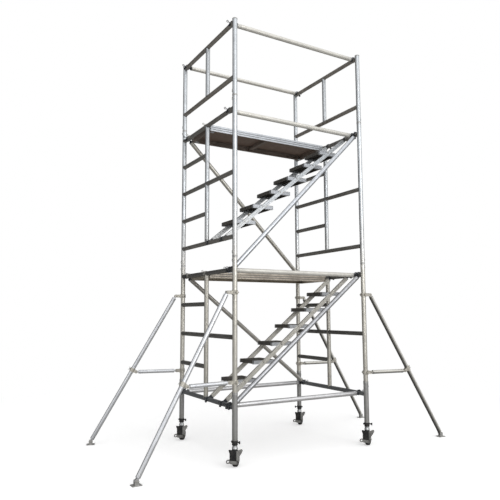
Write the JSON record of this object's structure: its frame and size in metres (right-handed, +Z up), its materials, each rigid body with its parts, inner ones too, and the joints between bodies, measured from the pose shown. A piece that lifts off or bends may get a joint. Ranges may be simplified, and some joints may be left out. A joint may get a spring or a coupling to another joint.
{
  "type": "mobile tower scaffold",
  "caption": "Tall aluminium access tower on braked adjustable castors, with ladder end frames, claw braces, two decks, stair flights and swing-out stabilisers.",
  "frame": {"origin": "on the ground plane, below the middle of the whole tower with its stabilisers swung out; the centre of the rectangle made by the four leg axes lies at x -0.0296, y -0.1260 m", "axes": "+X along the long side of the tower, +Y across the end frames from the stair side to the deck side, +Z up"},
  "size_m": [4.5379, 2.1757, 5.428],
  "materials": {
    "base_tube": "satin, weathered",
    "tower_tube": "satin extruded",
    "brace_tube": "satin extruded",
    "cap": "matt",
    "pin": "zinc plated",
    "claw": "dark grey casting",
    "latch": "zinc plated",
    "deck_rail": "satin extruded",
    "plywood": "film faced, matt",
    "hook": "cast",
    "stringer": "satin extruded",
    "tread": "dark, matt",
    "shoe": "pressed",
    "stem": "zinc plated",
    "nut": "black",
    "fork": "zinc plated pressing",
    "wheel": "solid, matt",
    "lever": "black",
    "stabiliser": "satin extruded, cast clamps",
    "foot": "light grey beige"
  },
  "bodies": {
    "tower": {"base_frame_left": "base_tube", "base_frame_right": "base_tube", "lower_frame_left": "tower_tube", "lower_frame_right": "tower_tube", "upper_frame_left": "tower_tube", "upper_frame_right": "tower_tube", "guard_frame_left": "tower_tube", "guard_frame_right": "tower_tube", "leg_caps": "cap", "lock_pins": "pin", "base_brace_front": "brace_tube", "base_brace_rear": "brace_tube", "lower_rail_front": "brace_tube", "upper_rail_front": "brace_tube", "guard_rail_front": "brace_tube", "guard_rail_rear": "brace_tube", "lower_diagonal_front": "brace_tube", "lower_diagonal_rear": "brace_tube", "upper_diagonal_front": "brace_tube", "upper_diagonal_rear": "brace_tube", "brace_hooks": "claw", "brace_latches": "latch", "lower_deck_frame": "deck_rail", "lower_deck_board": "plywood", "upper_deck_frame": "deck_rail", "upper_deck_board": "plywood", "platform_hooks": "hook", "lower_stair_stringers": "stringer", "lower_stair_treads": "tread", "upper_stair_stringers": "stringer", "upper_stair_treads": "tread", "tread_brackets": "shoe"},
    "jack_a": {"jack_stem_a": "stem"},
    "nut_a": {"jack_nut_a": "nut"},
    "fork_a": {"castor_fork_a": "fork"},
    "wheel_a": {"castor_wheel_a": "wheel"},
    "lever_a": {"brake_lever_a": "lever"},
    "stabiliser_a": {"stabiliser_a": "stabiliser"},
    "foot_a": {"stabiliser_foot_a": "foot"},
    "jack_b": {"jack_stem_b": "stem"},
    "nut_b": {"jack_nut_b": "nut"},
    "fork_b": {"castor_fork_b": "fork"},
    "wheel_b": {"castor_wheel_b": "wheel"},
    "lever_b": {"brake_lever_b": "lever"},
    "stabiliser_b": {"stabiliser_b": "stabiliser"},
    "foot_b": {"stabiliser_foot_b": "foot"},
    "jack_c": {"jack_stem_c": "stem"},
    "nut_c": {"jack_nut_c": "nut"},
    "fork_c": {"castor_fork_c": "fork"},
    "wheel_c": {"castor_wheel_c": "wheel"},
    "lever_c": {"brake_lever_c": "lever"},
    "stabiliser_c": {"stabiliser_c": "stabiliser"},
    "foot_c": {"stabiliser_foot_c": "foot"},
    "jack_d": {"jack_stem_d": "stem"},
    "nut_d": {"jack_nut_d": "nut"},
    "fork_d": {"castor_fork_d": "fork"},
    "wheel_d": {"castor_wheel_d": "wheel"},
    "lever_d": {"brake_lever_d": "lever"},
    "stabiliser_d": {"stabiliser_d": "stabiliser"},
    "foot_d": {"stabiliser_foot_d": "foot"}
  },
  "joints": [
    {"name": "jack_slide_a", "type": "slide", "parent": "tower", "child": "jack_a", "axis": [0, 0, 1], "range_m": [-0.15, 0.005]},
    {"name": "nut_turn_a", "type": "hinge", "parent": "tower", "child": "nut_a", "pos_m": [-1.0296, -0.901, 0.27], "axis": [0, 0, 1], "continuous": true},
    {"name": "castor_swivel_a", "type": "hinge", "parent": "jack_a", "child": "fork_a", "pos_m": [-1.0296, -0.901, 0.19], "axis": [0, 0, 1], "continuous": true},
    {"name": "wheel_spin_a", "type": "hinge", "parent": "fork_a", "child": "wheel_a", "pos_m": [-1.00731, -0.88093, 0.075], "axis": [0.6691, -0.7431, 0], "continuous": true},
    {"name": "brake_lever_a", "type": "hinge", "parent": "fork_a", "child": "lever_a", "pos_m": [-1.04, -0.91037, 0.158], "axis": [0.6691, -0.7431, 0], "range_deg": [-10, 8]},
    {"name": "stabiliser_swing_a", "type": "hinge", "parent": "tower", "child": "stabiliser_a", "pos_m": [-1.0296, -0.901, 0.948], "axis": [0, 0, 1], "range_deg": [-35, 35]},
    {"name": "foot_tilt_a", "type": "hinge", "parent": "stabiliser_a", "child": "foot_a", "pos_m": [-2.21451, -0.9714, 0.045], "axis": [0.0593, -0.9982, 0], "range_deg": [-25, 25]},
    {"name": "jack_slide_b", "type": "slide", "parent": "tower", "child": "jack_b", "axis": [0, 0, 1], "range_m": [-0.15, 0.005]},
    {"name": "nut_turn_b", "type": "hinge", "parent": "tower", "child": "nut_b", "pos_m": [-1.0296, 0.649, 0.27], "axis": [0, 0, 1], "continuous": true},
    {"name": "castor_swivel_b", "type": "hinge", "parent": "jack_b", "child": "fork_b", "pos_m": [-1.0296, 0.649, 0.19], "axis": [0, 0, 1], "continuous": true},
    {"name": "wheel_spin_b", "type": "hinge", "parent": "fork_b", "child": "wheel_b", "pos_m": [-1.00802, 0.66984, 0.075], "axis": [0.6947, -0.7193, 0], "continuous": true},
    {"name": "brake_lever_b", "type": "hinge", "parent": "fork_b", "child": "lever_b", "pos_m": [-1.03967, 0.63928, 0.158], "axis": [0.6947, -0.7193, 0], "range_deg": [-10, 8]},
    {"name": "stabiliser_swing_b", "type": "hinge", "parent": "tower", "child": "stabiliser_b", "pos_m": [-1.0296, 0.649, 0.948], "axis": [0, 0, 1], "range_deg": [-35, 35]},
    {"name": "foot_tilt_b", "type": "hinge", "parent": "stabiliser_b", "child": "foot_b", "pos_m": [-2.17964, 1.03157, 0.045], "axis": [-0.3156, -0.9489, 0], "range_deg": [-25, 25]},
    {"name": "jack_slide_c", "type": "slide", "parent": "tower", "child": "jack_c", "axis": [0, 0, 1], "range_m": [-0.15, 0.005]},
    {"name": "nut_turn_c", "type": "hinge", "parent": "tower", "child": "nut_c", "pos_m": [0.9704, -0.901, 0.27], "axis": [0, 0, 1], "continuous": true},
    {"name": "castor_swivel_c", "type": "hinge", "parent": "jack_c", "child": "fork_c", "pos_m": [0.9704, -0.901, 0.19], "axis": [0, 0, 1], "continuous": true},
    {"name": "wheel_spin_c", "type": "hinge", "parent": "fork_c", "child": "wheel_c", "pos_m": [0.99611, -0.88555, 0.075], "axis": [0.515, -0.8572, 0], "continuous": true},
    {"name": "brake_lever_c", "type": "hinge", "parent": "fork_c", "child": "lever_c", "pos_m": [0.9584, -0.90821, 0.158], "axis": [0.515, -0.8572, 0], "range_deg": [-10, 8]},
    {"name": "stabiliser_swing_c", "type": "hinge", "parent": "tower", "child": "stabiliser_c", "pos_m": [0.9704, -0.901, 0.948], "axis": [0, 0, 1], "range_deg": [-35, 35]},
    {"name": "foot_tilt_c", "type": "hinge", "parent": "stabiliser_c", "child": "foot_c", "pos_m": [2.21261, -1.04034, 0.045], "axis": [0.1115, 0.9938, 0], "range_deg": [-25, 25]},
    {"name": "jack_slide_d", "type": "slide", "parent": "tower", "child": "jack_d", "axis": [0, 0, 1], "range_m": [-0.15, 0.005]},
    {"name": "nut_turn_d", "type": "hinge", "parent": "tower", "child": "nut_d", "pos_m": [0.9704, 0.649, 0.27], "axis": [0, 0, 1], "continuous": true},
    {"name": "castor_swivel_d", "type": "hinge", "parent": "jack_d", "child": "fork_d", "pos_m": [0.9704, 0.649, 0.19], "axis": [0, 0, 1], "continuous": true},
    {"name": "wheel_spin_d", "type": "hinge", "parent": "fork_d", "child": "wheel_d", "pos_m": [0.99467, 0.66663, 0.075], "axis": [0.5878, -0.809, 0], "continuous": true},
    {"name": "brake_lever_d", "type": "hinge", "parent": "fork_d", "child": "lever_d", "pos_m": [0.95907, 0.64077, 0.158], "axis": [0.5878, -0.809, 0], "range_deg": [-10, 8]},
    {"name": "stabiliser_swing_d", "type": "hinge", "parent": "tower", "child": "stabiliser_d", "pos_m": [0.9704, 0.649, 0.948], "axis": [0, 0, 1], "range_deg": [-35, 35]},
    {"name": "foot_tilt_d", "type": "hinge", "parent": "stabiliser_d", "child": "foot_d", "pos_m": [2.19979, 0.61037, 0.045], "axis": [0.0314, 0.9995, 0], "range_deg": [-25, 25]}
  ],
  "couplings": [
    {"joint": "nut_turn_a", "follows": "jack_slide_a", "rad_per_m": 785.4},
    {"joint": "nut_turn_b", "follows": "jack_slide_b", "rad_per_m": 785.4},
    {"joint": "nut_turn_c", "follows": "jack_slide_c", "rad_per_m": 785.4},
    {"joint": "nut_turn_d", "follows": "jack_slide_d", "rad_per_m": 785.4}
  ]
}
